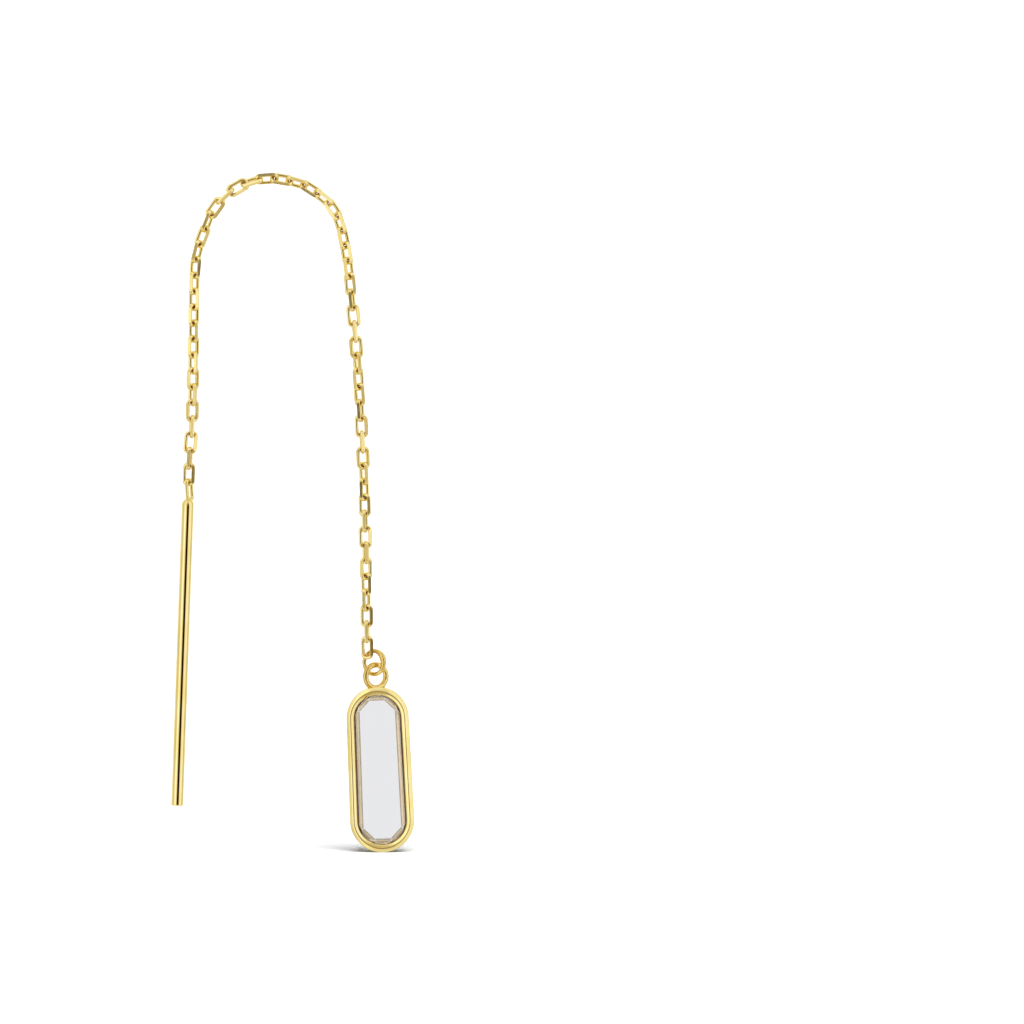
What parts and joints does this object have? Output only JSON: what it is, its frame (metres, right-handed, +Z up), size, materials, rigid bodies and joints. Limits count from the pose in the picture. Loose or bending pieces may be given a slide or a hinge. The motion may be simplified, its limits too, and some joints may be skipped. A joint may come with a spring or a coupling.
{
  "type": "threader earring",
  "caption": "Fine link chain earring that threads through the ear, with a round bar on one end and a tall crystal pendant in a rounded frame on the other.",
  "frame": {"origin": "top of the chain's arch, on the chain's centreline, where the earring hangs in the ear", "axes": "+Z up, +X towards the pendant's side, -Y is the front of the pendant"},
  "size_m": [0.02, 0.0019, 0.0561],
  "materials": {
    "gold": "polished yellow gold, planed links",
    "crystal": "clear colourless, polished facets"
  },
  "bodies": {
    "chain_side": {"chain": "gold", "jump_ring": "gold"},
    "bar": {"threader_bar": "gold"},
    "pendant": {"bezel": "gold", "crystal": "crystal"}
  },
  "joints": [
    {"name": "bar_swing", "type": "hinge", "parent": "chain_side", "child": "bar", "pos_m": [-0.00726, 0, -0.02525], "axis": [0.9128, -0.4067, -0.0362], "range_deg": [-75, 75]},
    {"name": "pendant_swing", "type": "hinge", "parent": "chain_side", "child": "pendant", "pos_m": [0.00798, 0.00025, -0.04093], "axis": [0.8279, -0.5592, -0.0434], "range_deg": [-60, 45]}
  ]
}
